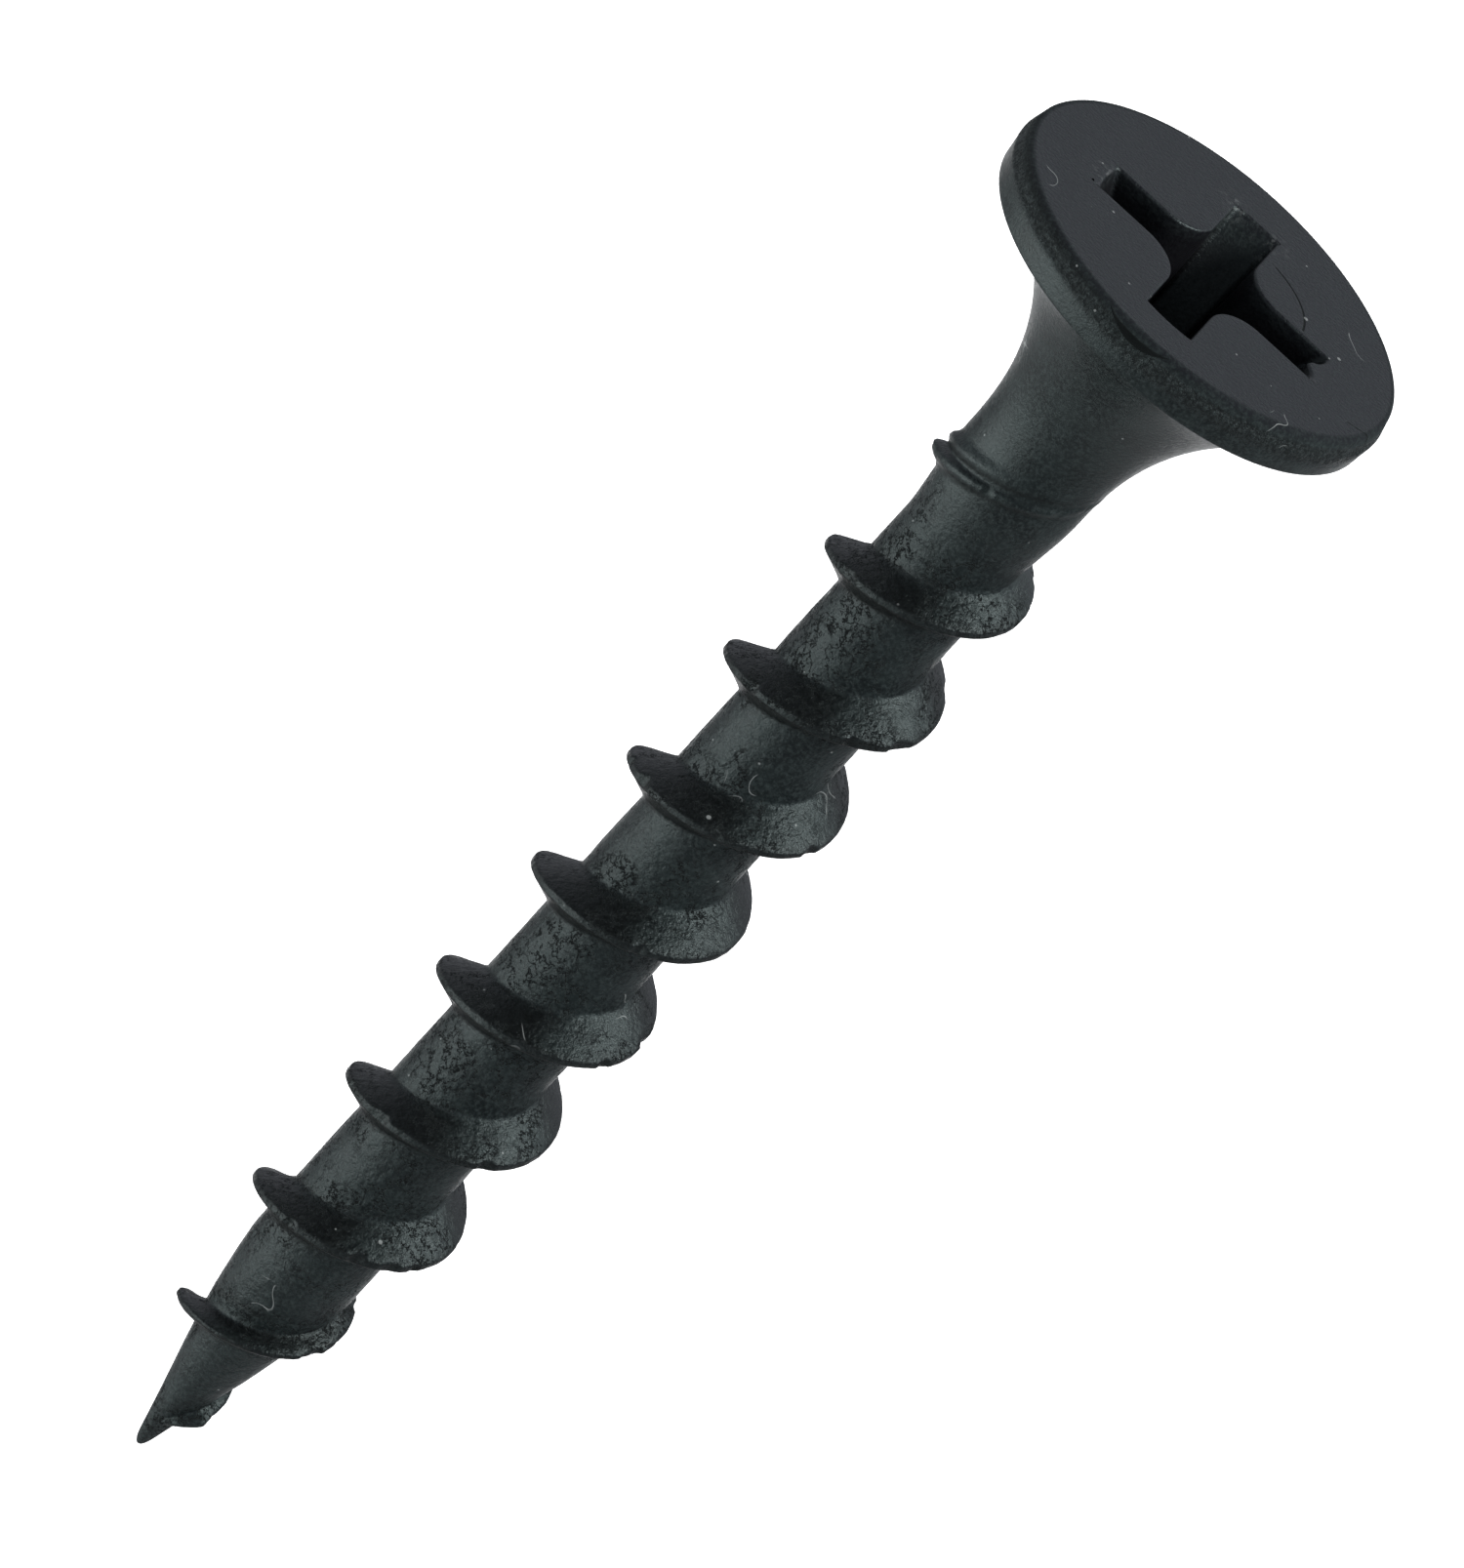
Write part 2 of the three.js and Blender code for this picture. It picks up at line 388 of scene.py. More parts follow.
def thread_radius(turn, rise, depth):
    """Radius of the threaded surface, rise millimetres above the crest's line at that turn."""
    wire = wire_radius(depth)
    crest = crest_radius(turn)
    thinning = smooth_step(turn, *THINNING_TURNS)
    rise = rise + CREST_DRIFT * thinning + LAST_TURN_DRIFT * smooth_step(turn, *LAST_TURNS)
    rise = rise + START_DRIFT * (1 - smooth_step(turn, *STARTING_TURNS))
    upper_run = UPPER_FLANK_RUN * (1 - UPPER_THINNING * thinning)
    lower_run = LOWER_FLANK_RUN * (1 - LOWER_THINNING * thinning)
    upper = crest - (rise - CREST_WIDTH / 2) / upper_run
    lower = crest - (-rise - CREST_WIDTH / 2) / lower_run
    flanks = np.minimum(upper, lower)
    ridge = smooth_min(flanks, crest - crest_wear(turn), CREST_ROUNDING)
    return smooth_max(ridge, wire + second_ridge(turn, rise), ROOT_FILLET)


# The mesh ------------------------------------------------------------------------------------------


class Shell:
    """Vertices in millimetres and faces, gathered into one closed mesh."""

    def __init__(self):
        self.points = []
        self.shares = {"shelter": [], "flank": []}
        self.count = 0
        self.faces = []

    def add_points(self, points, shelter=0.0, flank=0.0):
        """Adds vertices with their shares of the thread's two painted shades, and returns their numbers.
        """
        first = self.count
        self.points.append(np.asarray(points, float))
        self.shares["shelter"].append(np.broadcast_to(shelter, len(points)))
        self.shares["flank"].append(np.broadcast_to(flank, len(points)))
        self.count += len(points)
        return np.arange(first, self.count)

    def add_band(self, before, ring):
        """Quads between two closed rings, taken in order from the recess floor to the point."""
        for here in range(len(ring)):
            after = (here + 1) % len(ring)
            self.add_face(before[here], ring[here], ring[after], before[after])

    def add_face(self, *corners):
        kept = []
        for corner in corners:
            if corner not in kept:
                kept.append(int(corner))
        if len(kept) > 2:
            self.faces.append(kept)


def half_quarter(reach, half_width, bend):
    """Half a quarter of the recess's outline, from a wing's end to the middle of a rounded corner."""
    fillet = bend - half_width
    corner_length = fillet * math.pi / 4
    if reach > math.hypot(bend, half_width):
        start = corner_length + math.sqrt(reach**2 - half_width**2) - bend
    else:
        sweep = np.linspace(0, math.pi / 4, ARC_SAMPLES)
        away = np.hypot(
            bend - fillet * np.sin(math.pi / 4 - sweep),
            bend - fillet * np.cos(math.pi / 4 - sweep),
        )
        start = fillet * np.interp(reach, away, sweep)
    middle = min(corner_length, CORNER_SHARE * start)
    lengths = np.concatenate([
        np.linspace(start, middle, SIDE_STEPS, endpoint=False),
        np.linspace(middle, 0, CORNER_STEPS + 1),
    ])
    straight = np.clip(lengths - corner_length, 0, None)
    angle = math.pi / 4 - np.clip(lengths / fillet, 0, math.pi / 4)
    side = np.stack([bend - fillet * np.sin(angle) + straight, bend - fillet * np.cos(angle)], -1)
    sweep = np.linspace(0, math.atan2(side[0, 1], side[0, 0]), END_STEPS, endpoint=False)
    end = reach * np.stack([np.cos(sweep), np.sin(sweep)], -1)
    return np.concatenate([end, side])


def recess_ring(depth, spread=0.0):
    """The recess's whole outline at a depth, pushed outwards by spread."""
    reach = WING_REACH - depth * math.tan(WING_SLOPE) + spread
    half_width = WING_HALF_WIDTH - depth * math.tan(WALL_SLOPE)
    half = half_quarter(reach, half_width + spread, half_width + WING_FILLET)
    quarter = np.concatenate([half[:-1], half[:0:-1, ::-1]])
    x, y = quarter[:, 0], quarter[:, 1]
    outline = np.concatenate([
        np.stack([x, y], -1),
        np.stack([-y, x], -1),
        np.stack([-x, -y], -1),
        np.stack([y, -x], -1),
    ])
    outline = outline * RECESS_STRETCH + RECESS_CENTRE
    return np.column_stack([outline, np.full(COLUMNS, -depth)])


def round_ring(radius, depth):
    angle = 2 * math.pi * np.arange(COLUMNS) / COLUMNS
    return np.column_stack([
        radius * np.cos(angle),
        radius * np.sin(angle),
        np.full(COLUMNS, -depth),
    ])


def recess_rings():
    """Rings from the recess floor up its walls and over its rounded lip."""
    centre = np.array((*RECESS_CENTRE, -RECESS_FLOOR_DEPTH))
    floor = recess_ring(RECESS_DEPTH)
    rings = [centre + (floor - centre) * share for share in FLOOR_SHARES]
    for depth in np.linspace(RECESS_DEPTH, LIP_ROUNDING, WALL_ROWS):
        rings.append(recess_ring(depth))
    for angle in np.radians(LIP_ANGLES):
        spread = LIP_ROUNDING * (1 - math.cos(angle))
        rings.append(recess_ring(LIP_ROUNDING * (1 - math.sin(angle)), spread))
    rings.append(recess_ring(0, LIP_ROUNDING))
    return rings


def face_rings():
    """Rings across the flat face, from the recess's lip to the face's edge."""
    inner = recess_ring(0, LIP_ROUNDING)
    outer = round_ring(FACE_RADIUS - FACE_EDGE_ROUNDING, 0)
    shares = np.arange(1, FACE_ROWS + 1) / FACE_ROWS
    return [inner + (outer - inner) * share for share in shares]


def rim_rings():
    """Rings down the rounded face edge, the rim's two slopes and its rounded lower edge."""
    rings = []
    soft = FACE_EDGE_ROUNDING
    for angle in np.radians(FACE_EDGE_ANGLES):
        radius = FACE_RADIUS - soft * (1 - math.sin(angle))
        rings.append(round_ring(radius, soft * (1 - math.cos(angle))))
    for share in np.linspace(0, 1, BEVEL_ROWS)[1:]:
        radius = FACE_RADIUS + (HEAD_RADIUS - FACE_RADIUS) * share
        rings.append(round_ring(radius, soft + (WIDEST_DEPTH - soft) * share))
    rings.append(round_ring(HEAD_RADIUS - WIDEST_ROUNDING, WIDEST_DEPTH + WIDEST_ROUNDING_REACH))
    for share in np.linspace(0.2, 1, RIM_ROWS):
        depth = WIDEST_DEPTH + (RIM_EDGE_DEPTH - RIM_EDGE_ROUNDING - WIDEST_DEPTH) * share
        rings.append(round_ring(HEAD_RADIUS + (RIM_EDGE_RADIUS - HEAD_RADIUS) * share, depth))
    for angle in np.radians(RIM_EDGE_ANGLES):
        radius = RIM_EDGE_RADIUS - RIM_EDGE_ROUNDING * (1 - math.cos(angle))
        rings.append(round_ring(radius, RIM_EDGE_DEPTH - RIM_EDGE_ROUNDING * (1 - math.sin(angle))))
    return rings


def bugle_rings():
    """Rings in under the rim and down the bugle to the thread's top."""
    rings = []
    outer = RIM_EDGE_RADIUS - RIM_EDGE_ROUNDING
    for radius in np.linspace(outer, BUGLE_TOP_RADIUS, UNDERSIDE_ROWS)[1:-1]:
        rings.append(round_ring(radius, RIM_EDGE_DEPTH))
    for share in np.linspace(0, 1, BUGLE_ROWS) ** 1.25:
        depth = RIM_EDGE_DEPTH + (THREAD_TOP_DEPTH - RIM_EDGE_DEPTH) * share
        rings.append(round_ring(wire_radius(depth), depth))
    return rings


def station_drops():
    """How far below the crest's line each line of vertices runs that follows the thread.

    They go down from one crest to the next, and lie closest on the crests and at the flanks' feet.
    """
    crest = CREST_WIDTH / 2
    height = CREST_RADIUS - ROOT_RADIUS
    lower_foot = crest + height * LOWER_FLANK_RUN
    upper_foot = PITCH - crest - height * UPPER_FLANK_RUN
    return np.concatenate([
        (0, 0.6 * crest, crest, 1.4 * crest),
        np.linspace(2 * crest, lower_foot - 0.05, 5),
        np.linspace(lower_foot, lower_foot + 0.12, 3),
        np.linspace(lower_foot + 0.25, upper_foot - 0.25, 9),
        np.linspace(upper_foot - 0.12, upper_foot, 3),
        np.linspace(upper_foot + 0.05, PITCH - 2 * crest, 5),
        (PITCH - 1.4 * crest, PITCH - crest, PITCH - 0.6 * crest),
    ])


def lit_flank_side(turn):
    """From 0 to 1 where the thread turns through the lit side, on which its upper flank is left without
    most of its painted shade.
    """
    away = np.abs((turn - LIT_FLANK_TURN + 0.5) % 1 - 0.5)
    return 1 - smooth_step(away, 0.07, 0.14)


def flank_share(turn, rise, radius, depth):
    """How much of each point lies on the thread's upper side, which is painted dark as shade except on
    the lit side.
    """
    standing = smooth_step(radius - wire_radius(depth), 0.03, 0.12)
    upper = standing * (rise > 0.4 * CREST_WIDTH)
    return upper * smooth_step(turn, -0.2, 0.3) * (1 - 0.8 * lit_flank_side(turn))


def line_shade(rise, line):
    """1 on a line that follows the thread, fading to 0 over about its width."""
    place, width = line
    return np.exp(-(((rise - place) / width) ** 2))


def full_thread_shade(turn, rise):
    """Painted shade on the thread's edges, chips, underside, crest and foot, halved along a brighter
    line on the crest and left off the foot on the lit side.
    """
    upper_edge = 0.9 * line_shade(rise, UPPER_EDGE_LINE)
    underside = smooth_step(-rise, *UNDERSIDE_IN) * (1 - smooth_step(-rise, *UNDERSIDE_OUT))
    chipped = smooth_step(crest_wear(turn), 0.02, 0.07) * (np.abs(rise) < 1.2 * CREST_WIDTH)
    on_crest = np.abs(rise) < 0.6 * CREST_WIDTH
    crest = (1 - 0.5 * line_shade(rise, BRIGHT_CREST_LINE)) * on_crest
    foot = 0.85 * line_shade(rise, FOOT_LINE) * (1 - lit_flank_side(turn))
    shade = np.max(np.broadcast_arrays(upper_edge, underside, chipped, crest, foot), axis=0)
    return shade * smooth_step(turn, *SHADES_IN) * (1 - smooth_step(turn, *SHADES_OUT))


def starting_thread_shade(turn, rise):
    """Painted shade: dark lines beside the two faint ridges where the thread starts."""
    rise = rise + START_DRIFT
    first = line_shade(rise, START_LOWER_LINE) + 0.6 * line_shade(rise, START_UPPER_LINE)
    second = line_shade(rise, SECOND_RIDGE_LINE)
    starting = smooth_step(turn, *START_SHADES_IN) * (1 - smooth_step(turn, *START_SHADES_OUT))
    return starting * (first + second)


def helix_points(radius, angle, depth):
    """Points at each radius from the axis, angle round it and depth below the head face."""
    return np.stack([radius * np.cos(angle), radius * np.sin(angle), -depth], -1)


def thread_grid():
    """The thread's points in rows that follow it, with each point's shades and depth."""
    drops = station_drops()
    nearer_next = drops > PITCH / 2
    column_turn = np.arange(COLUMNS) / COLUMNS
    turn = (GRID_TURNS[:, None, None] - column_turn + nearer_next[:, None]).reshape(-1, COLUMNS)
    rise = np.tile(np.where(nearer_next, PITCH, 0) - drops, len(GRID_TURNS))[:, None]
    depth = FIRST_CREST_DEPTH + PITCH * turn - rise
    angle = np.broadcast_to(2 * math.pi * column_turn, depth.shape)
    radius = thread_radius(turn, rise, depth)
    even = helix_points(radius, angle, depth)
    uneven = sum(height * lumps(even, size, seed) for size, height, seed in LUMP_LAYERS)
    rolled = smooth_step(depth, *LUMPS_FADE_IN) * (1 - smooth_step(depth, *LUMPS_FADE_OUT))
    radius = radius + uneven * rolled
    shelter = np.clip(full_thread_shade(turn, rise) + starting_thread_shade(turn, rise), 0, 1)
    flank = flank_share(turn, rise, radius, depth)
    return helix_points(radius, angle, depth), shelter, flank, depth


def add_thread(shell, top_ring, nose_ring):
    """A grid of vertices that follows the thread round the shank, between two level rings."""
    points, shelter, flank, depth = thread_grid()
    stations = len(station_drops())
    below_top = depth > THREAD_TOP_DEPTH + GRID_GAP
    inside = below_top & (depth < NOSE_DEPTH - GRID_GAP)
    index = np.where(below_top, nose_ring, top_ring)
    index[inside] = shell.add_points(points[inside], shelter[inside], flank[inside])
    for line in range(stations, len(index) - 1):
        for column in range(COLUMNS - 1):
            shell.add_face(
                index[line, column],
                index[line + 1, column],
                index[line + 1, column + 1],
                index[line, column + 1],
            )
        shell.add_face(
            index[line, -1],
            index[line + 1, -1],
            index[line + 1 - stations, 0],
            index[line - stations, 0],
        )


def add_screw(shell):
    """Every ring in order, from the middle of the recess floor to the point."""
    middle = shell.add_points([(*RECESS_CENTRE, -RECESS_FLOOR_DEPTH)])
    before = np.repeat(middle, COLUMNS)
    for points in recess_rings() + face_rings() + rim_rings() + bugle_rings():
        ring = shell.add_points(points)
        shell.add_band(before, ring)
        before = ring
    nose = shell.add_points(round_ring(wire_radius(NOSE_DEPTH), NOSE_DEPTH))
    add_thread(shell, before, nose)
    before = nose
    for share in np.linspace(1, 0, NOSE_ROWS)[1:-1] ** 2:
        depth = TIP_DEPTH - (TIP_DEPTH - NOSE_DEPTH) * share
        ring = shell.add_points(round_ring(wire_radius(depth), depth))
        shell.add_band(before, ring)
        before = ring
    point = shell.add_points([(0, 0, -TIP_DEPTH)])
    shell.add_band(before, np.repeat(point, COLUMNS))


def away_from_axis(points):
    return np.hypot(points[:, 0], points[:, 1])


def recess_share(points):
    """Painted shade: 1 on the recess's walls below its lip, and 0 outside it. Light reaches deeper in at
    +Y.
    """
    depth = -points[:, 2]
    inner = away_from_axis(points) < bugle_radius(depth) - 0.25
    inner = inner & (depth < RECESS_FLOOR_DEPTH + 0.01)
    lit = smooth_step(points[:, 1], *RECESS_LIGHT_PLACES)
    full_depth = RECESS_SHADE_DEPTH + RECESS_LIGHT_DEPTH * lit
    return np.where(inner, smooth_step(depth, RECESS_SHADE_START, full_depth), 0)


def rim_share(points):
    """1 on the band of painted shade below the face's edge, which lies lower from the front round to the
    back.
    """
    angle = np.degrees(np.arctan2(points[:, 1], points[:, 0]))
    below = -points[:, 2] - RIM_BAND_DROP * smooth_step(angle, *RIM_BAND_DROP_ANGLES)
    band = smooth_step(below, *RIM_BAND_START) * (1 - smooth_step(below, *RIM_BAND_END))
    return band * (away_from_axis(points) > FACE_RADIUS - 0.2)


def edge_share(points):
    """1 round the edge of the head face."""
    outer = smooth_step(away_from_axis(points), *EDGE_RADII)
    return outer * (1 - smooth_step(-points[:, 2], *EDGE_DEPTHS))


def burr_share(points):
    """1 at each place with pale crumbs, fading to 0 over about its reach."""
    shares = [np.exp(-(((points - place) / reach) ** 2).sum(axis=1)) for place, reach in BURRS]
    return np.max(shares, axis=0)


def add_zone(mesh, name, shares):
    zone = mesh.attributes.new(name, "FLOAT", "POINT")
    zone.data.foreach_set("value", shares.astype(np.float32))


def add_zones(mesh, points):
    """Writes how much of each vertex lies in each zone that the material treats in its own way."""
    add_zone(mesh, "recess", recess_share(points))
    add_zone(mesh, "shank", smooth_step(-points[:, 2], *SHANK_DEPTHS))
    add_zone(mesh, "face", 1 - smooth_step(-points[:, 2], *FACE_DEPTHS))
    add_zone(mesh, "rim", rim_share(points))
    add_zone(mesh, "edge", edge_share(points))
    add_zone(mesh, "burr", burr_share(points))


def push(points, centre, reach, move):
    """Moves the points near a centre, less and less out to about its reach along X, Y and Z."""
    away = ((points - centre) / reach) ** 2
    points += np.exp(-away.sum(axis=1))[:, None] * move


def make_screw_body():
    shell = Shell()
    add_screw(shell)
    points = np.concatenate(shell.points)
    for dent in DENTS:
        push(points, *dent)
    points[:, 0] += SHANK_OFFSET * smooth_step(-points[:, 2], *SHANK_OFFSET_DEPTHS)
    mesh = bpy.data.meshes.new("screw_body")
    mesh.from_pydata((points * MM).tolist(), [], shell.faces)
    mesh.validate()
    mesh.shade_smooth()
    add_zones(mesh, points)
    for name, shares in shell.shares.items():
        add_zone(mesh, name, np.concatenate(shares))
    piece = bpy.data.objects.new("screw_body", mesh)
    bpy.context.scene.collection.objects.link(piece)
    return piece


# Material ----------------------------------------------------------------------------------------


class Nodes:
    """Short calls for building a material's nodes."""

    def __init__(self, material):
        material.use_nodes = True
        self.tree = material.node_tree
        self.shader = self.tree.nodes["Principled BSDF"]

    def add(self, kind, inputs=(), **settings):
        node = self.tree.nodes.new(kind)
        for name, value in settings.items():
            setattr(node, name, value)
        for name, value in dict(inputs).items():
            self.put(node.inputs[name], value)
        return node

    def put(self, socket, value):
        if isinstance(value, bpy.types.NodeSocket):
            self.tree.links.new(value, socket)
        else:
            socket.default_value = value

    def math(self, operation, *values):
        node = self.add("ShaderNodeMath", operation=operation)
        for socket, value in zip(node.inputs, values):
            self.put(socket, value)
        return node.outputs[0]

    def product(self, first, *others):
        for other in others:
            first = self.math("MULTIPLY", first, other)
        return first

    def largest(self, first, *others):
        for other in others:
            first = self.math("MAXIMUM", first, other)
        return first

    def less(self, value, loss, start):
        """Start, made less by the value's share of the loss."""
        return self.math("MULTIPLY_ADD", value, -loss, start)

    def ramp(self, value, low, high, to_low=0.0, to_high=1.0):
        """The value's place between low and high, carried to between to_low and to_high."""
        node = self.add("ShaderNodeMapRange", interpolation_type="SMOOTHSTEP")
        for name, setting in zip(("Value", "From Min", "From Max", "To Min", "To Max"),
                                 (value, low, high, to_low, to_high)):
            self.put(node.inputs[name], setting)
        return node.outputs[0]

    def blend(self, share, first, second):
        node = self.add("ShaderNodeMix", data_type="RGBA")
        self.put(node.inputs[0], share)
        self.put(node.inputs[6], first)
        self.put(node.inputs[7], second)
        return node.outputs[2]

    def zone(self, name):
        return self.add("ShaderNodeAttribute", attribute_name=name).outputs["Fac"]

    def millimetres(self):
        """Object coordinates in millimetres."""
        node = self.add("ShaderNodeVectorMath", operation="MULTIPLY")
        self.put(node.inputs[0], self.add("ShaderNodeTexCoord").outputs["Object"])
        self.put(node.inputs[1], (1 / MM, 1 / MM, 1 / MM))
        return node.outputs[0]

    def position(self):
        """X, Y and Z in millimetres."""
        return self.add("ShaderNodeSeparateXYZ", {"Vector": self.millimetres()}).outputs

    def noise(self, place, per_mm, detail=2.0, roughness=0.5):
        node = self.add("ShaderNodeTexNoise", {
            "Vector": place, "Scale": per_mm, "Detail": detail, "Roughness": roughness,
        })
        return node.outputs["Fac"]

    def cells(self, place, per_mm):
        return self.add("ShaderNodeTexVoronoi", {"Vector": place, "Scale": per_mm}).outputs


def specks(n, place, per_mm, rarity, size):
    """Round specks in some of the cells of a scattered pattern."""
    cells = n.cells(place, per_mm)
    draw = n.add("ShaderNodeSeparateColor", {"Color": cells["Color"]}).outputs[0]
    chosen = n.ramp(draw, rarity, rarity + 0.01)
    return n.product(chosen, n.ramp(cells["Distance"], size, 1.3 * size, 1.0, 0.0))


def contour(n, noise, outer, inner):
    """A wandering line where the noise passes its middle value."""
    return n.ramp(n.math("ABSOLUTE", n.math("SUBTRACT", noise, 0.5)), outer, inner)


def line_mark(n, distance, half_width):
    """A dark line where the distance is small."""
    return n.ramp(n.math("ABSOLUTE", distance), 1.3 * half_width, 0.5 * half_width)


def scratch_mark(n):
    """A fine curved scratch on the head face: part of a circle, above and to the right of its centre."""
    x, y, _ = n.position()
    across = n.math("SUBTRACT", x, SCRATCH_CENTRE[0])
    along = n.math("SUBTRACT", y, SCRATCH_CENTRE[1])
    away = n.math("SQRT", n.math("ADD", n.math("POWER", across, 2), n.math("POWER", along, 2)))
    line = line_mark(n, n.math("SUBTRACT", away, SCRATCH_RADIUS), SCRATCH_HALF_WIDTH)
    return n.product(line, n.ramp(across, 0.2, 0.4), n.ramp(along, 0.1, 0.2), n.zone("face"))


def crescent_shade(n):
    """Painted shade: a dark crescent in the nick pressed into the front of the rim."""
    x, y, z = n.position()
    across = n.math("ABSOLUTE", n.math("SUBTRACT", x, CRESCENT_PLACE[0]))
    height = n.math("SUBTRACT", z, CRESCENT_PLACE[1])
    height = n.math("SUBTRACT", height, n.product(n.math("POWER", across, 2), CRESCENT_BEND))
    width = n.product(n.ramp(across, CRESCENT_HALF_LENGTH, 0.2), CRESCENT_HALF_WIDTH)
    line = n.ramp(n.math("SUBTRACT", n.math("ABSOLUTE", height), width), 0.02, -0.01)
    return n.product(line, n.ramp(y, -3.6, -3.8), n.ramp(across, CRESCENT_HALF_LENGTH, 0.6))


def crease_mark(n):
    """A short straight crease across the edge of the head face."""
    x, y, z = n.position()
    start_x, start_y = CREASE_START
    off_line = n.math("ADD", y, n.less(x, CREASE_SLOPE, CREASE_SLOPE * start_x - start_y))
    line = line_mark(n, off_line, CREASE_HALF_WIDTH)
    return n.product(line, n.ramp(x, start_x - 0.02, start_x + 0.05), n.ramp(z, -0.25, -0.15))


def metal_colour(n, place, crystals):
    """Mottled metal with pale crystals, more even on the face and with painted shade on the thread's
    upper side.
    """
    face = n.zone("face")
    flank = n.zone("flank")
    mottling = n.noise(place, MOTTLES_PER_MM, detail=3, roughness=0.6)
    colour = n.blend(n.ramp(mottling, 0.3, 0.7), PHOSPHATE_DARK, PHOSPHATE_LIGHT)
    colour = n.blend(n.product(face, FACE_SHARE), colour, FACE_COLOUR)
    # The thread's upper side is painted dark as shade, with fewer crystals there.
    colour = n.blend(flank, colour, PIT_AND_SHADE_COLOUR)
    crystal_share = n.less(face, 0.3, n.less(flank, 0.75, CRYSTAL_SHARE))
    grain = n.product(n.ramp(crystals, 0.42, 0.66), crystal_share)
    return n.blend(grain, colour, PHOSPHATE_CRYSTAL)


def pit_marks_and_painted_shade(n, place, crystals, flecks):
    """Pits and cracks in patches of the shank, a scratch and a crease, and the rim's band and nick in
    painted shade.
    """
    patches = n.ramp(n.noise(place, PIT_PATCHES_PER_MM), 0.42, 0.55)
    holes = n.ramp(flecks, 0.38, 0.33)
    cracks = contour(n, n.noise(place, CRACKS_PER_MM, detail=4, roughness=0.7), 0.022, 0.008)
    dark_marks = n.product(n.largest(holes, cracks), patches, n.zone("shank"))
    # The rim's dark band is painted shade, mottled by the crystals.
    painted_rim_shade = n.product(n.ramp(crystals, 0.7, 0.35, 0.25, 0.85), n.zone("rim"))
    return n.largest(dark_marks, scratch_mark(n), crescent_shade(n), crease_mark(n), painted_rim_shade)


def dust_marks(n, place, flecks):
    """Specks of dust, a few curls of lint, and pale crumbs at the ends of three wings."""
    coarse = specks(n, place, COARSE_DUST_PER_MM, 0.7, 0.045)
    fine = specks(n, place, FINE_DUST_PER_MM, 0.64, 0.045)
    curls = contour(n, n.noise(place, LINT_CURLS_PER_MM, detail=0), 0.012, 0.006)
    lint = n.product(curls, specks(n, place, LINT_PER_MM, 0.75, 0.2))
    crumbs = n.product(n.zone("burr"), n.ramp(flecks, 0.52, 0.6, 0.0, 0.5))
    return n.largest(coarse, fine, lint, crumbs)


def surface_height(n, crystals, flecks, dark_marks):
    """The bump's height in metres."""
    fine = n.product(crystals, CRYSTAL_HEIGHT)
    coarse = n.product(flecks, n.math(
        "MULTIPLY_ADD", n.zone("shank"), SHANK_FLECK_HEIGHT, HEAD_FLECK_HEIGHT))
    height = n.math("ADD", n.math("ADD", fine, coarse), n.product(dark_marks, -PIT_DEPTH))
    return n.product(height, MM)


def phosphate():
    """Satin black phosphate with fine crystals, mottling, pitting and specks of dust, and dark lines and
    zones of painted shade.
    """
    material = bpy.data.materials.new("black_phosphate")
    n = Nodes(material)
    place = n.millimetres()
    crystals = n.noise(place, CRYSTALS_PER_MM, detail=3, roughness=0.75)
    flecks = n.noise(place, FLECKS_PER_MM, detail=4, roughness=0.65)
    dark_marks = pit_marks_and_painted_shade(n, place, crystals, flecks)
    # Painted shade along the thread, broken up a little by the crystals.
    sheltered = n.product(n.zone("shelter"), n.ramp(crystals, 0.35, 0.6, 1.0, 0.8))

    # Dark marks: pitting and cracks, the scratch and crease, and the painted shade of the rim's band and
    # nick.
    colour = n.blend(dark_marks, metal_colour(n, place, crystals), PIT_AND_SHADE_COLOUR)
    colour = n.blend(n.product(dust_marks(n, place, flecks), DUST_SHARE), colour, DUST_COLOUR)
    colour = n.blend(sheltered, colour, PIT_AND_SHADE_COLOUR)
    # Painted shade inside the recess.
    colour = n.blend(n.zone("recess"), colour, RECESS_SHADE_COLOUR)
    n.put(n.shader.inputs["Base Color"], colour)

    dull = n.product(n.largest(dark_marks, n.product(sheltered, 0.3), n.zone("edge")), DULL_ROUGHNESS)
    n.put(n.shader.inputs["Roughness"], n.largest(n.ramp(crystals, 0.35, 0.65, *ROUGHNESS), dull))
    n.put(n.shader.inputs["Specular IOR Level"], SPECULAR_LEVEL)
    n.put(n.shader.inputs["Specular Tint"], SHEEN_COLOUR)

    height = surface_height(n, crystals, flecks, dark_marks)
    bump = n.add("ShaderNodeBump", {"Height": height, "Distance": 1.0, "Strength": 1.0})
    n.put(n.shader.inputs["Normal"], bump.outputs["Normal"])
    return material


# Stage -------------------------------------------------------------------------------------------


def add_camera():
    elevation = math.radians(CAMERA_ELEVATION)
    lean = math.radians(CAMERA_LEAN)
    towards = Vector((0, -math.cos(elevation), math.sin(elevation)))
    upward = Vector((0, math.sin(elevation), math.cos(elevation)))
    sideways = Vector((math.cos(lean), 0, 0)) + math.sin(lean) * upward
    position = Vector(CAMERA_CENTRE) + CAMERA_DISTANCE * towards
    back = (position - Vector(CAMERA_AIM)).normalized()
    right = (sideways - sideways.dot(back) * back).normalized()
    up = back.cross(right)
    camera = bpy.data.objects.new("camera", bpy.data.cameras.new("camera"))
    camera.data.lens = CAMERA_LENS
    camera.data.sensor_width = 36
    camera.data.clip_start = 10 * MM
    camera.data.clip_end = 10
    turn = Matrix((right, up, back)).transposed().to_4x4()
    camera.matrix_world = Matrix.Translation(position * MM) @ turn
    bpy.context.scene.collection.objects.link(camera)
    bpy.context.scene.camera = camera


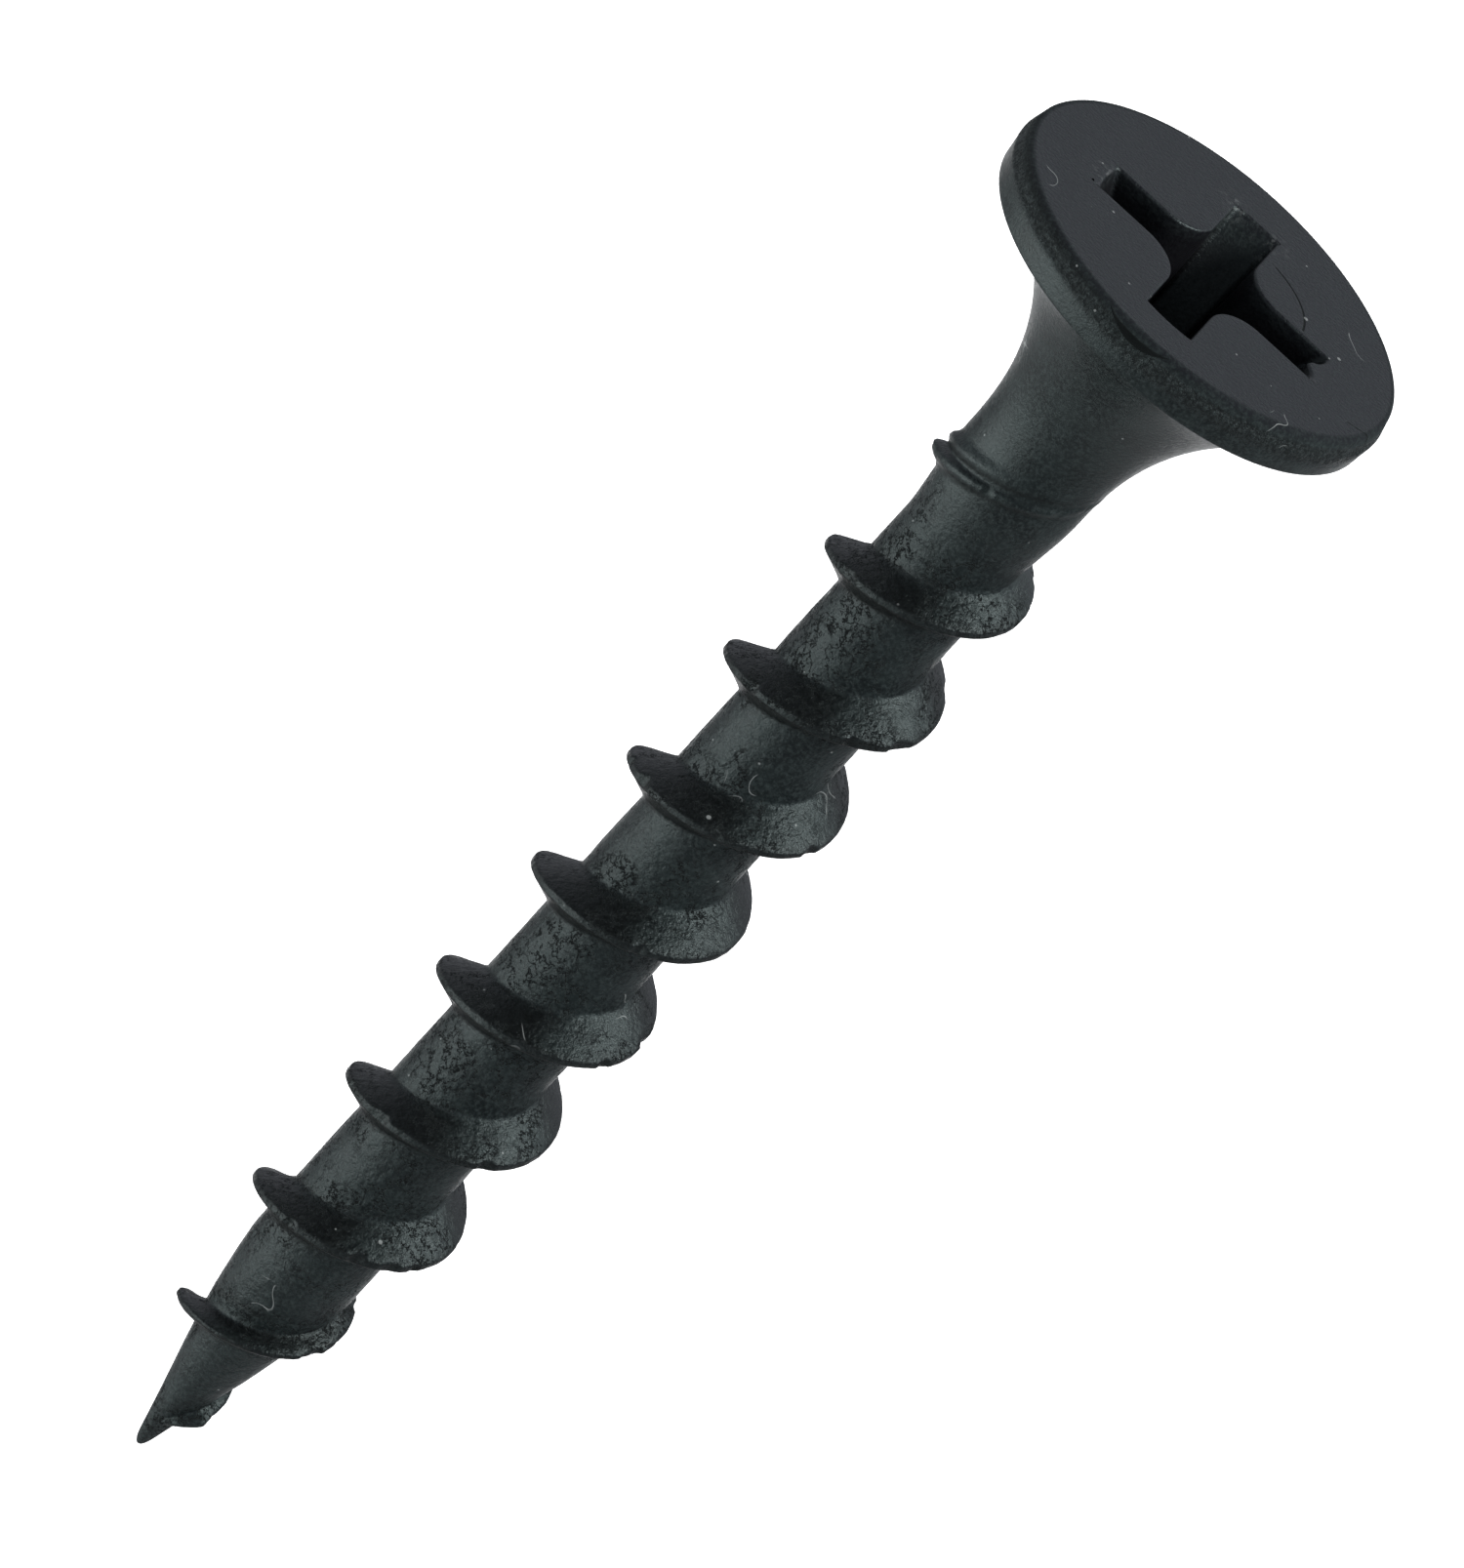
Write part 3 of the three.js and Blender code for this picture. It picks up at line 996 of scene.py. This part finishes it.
def add_floor():
    mesh = bpy.data.meshes.new("floor")
    half = FLOOR_HALF_WIDTH
    corners = [(-half, -half), (half, -half), (half, half), (-half, half)]
    mesh.from_pydata([(x, y, FLOOR_HEIGHT) for x, y in corners], [], [(0, 1, 2, 3)])
    material = bpy.data.materials.new("pale_floor")
    material.use_nodes = True
    shader = material.node_tree.nodes["Principled BSDF"]
    shader.inputs["Base Color"].default_value = FLOOR_COLOUR
    shader.inputs["Roughness"].default_value = 1
    shader.inputs["Specular IOR Level"].default_value = 0
    mesh.materials.append(material)
    floor = bpy.data.objects.new("floor", mesh)
    bpy.context.scene.collection.objects.link(floor)


def add_area_light(name, place, size, watts):
    light = bpy.data.lights.new(name, "AREA")
    light.shape = "RECTANGLE"
    light.size, light.size_y = size
    light.energy = watts
    holder = bpy.data.objects.new(name, light)
    holder.location = place
    target = Vector((0, 0, -15 * MM))
    holder.rotation_euler = (target - Vector(place)).to_track_quat("-Z", "Y").to_euler()
    holder.visible_camera = False
    bpy.context.scene.collection.objects.link(holder)


def add_floor_light():
    """A soft pool of light on the floor behind the screw."""
    light = bpy.data.lights.new("floor_light", "SPOT")
    light.energy = FLOOR_LIGHT_WATTS
    light.spot_size = math.radians(FLOOR_LIGHT_CONE)
    light.spot_blend = FLOOR_LIGHT_BLEND
    light.shadow_soft_size = FLOOR_LIGHT_SIZE
    holder = bpy.data.objects.new("floor_light", light)
    holder.location = FLOOR_LIGHT_PLACE
    bpy.context.scene.collection.objects.link(holder)


def add_world():
    world = bpy.data.worlds.new("tent")
    world.use_nodes = True
    tree = world.node_tree
    direction = tree.nodes.new("ShaderNodeTexCoord")
    parts = tree.nodes.new("ShaderNodeSeparateXYZ")
    strength = tree.nodes.new("ShaderNodeMapRange")
    strength.interpolation_type = "SMOOTHSTEP"
    strength.inputs["From Min"].default_value = ZENITH_BLEND[0]
    strength.inputs["From Max"].default_value = ZENITH_BLEND[1]
    strength.inputs["To Min"].default_value = HORIZON_STRENGTH
    strength.inputs["To Max"].default_value = ZENITH_STRENGTH
    background = tree.nodes["Background"]
    background.inputs["Color"].default_value = WORLD_COLOUR
    tree.links.new(direction.outputs["Generated"], parts.inputs[0])
    tree.links.new(parts.outputs["Z"], strength.inputs["Value"])
    tree.links.new(strength.outputs[0], background.inputs["Strength"])
    bpy.context.scene.world = world


add_camera()
add_world()
add_floor()
add_floor_light()
for light in AREA_LIGHTS:
    add_area_light(*light)

body = make_screw_body()
body.data.materials.append(phosphate())
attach(body, "root")
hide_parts("screw")
bpy.context.scene.view_settings.view_transform = "Standard"
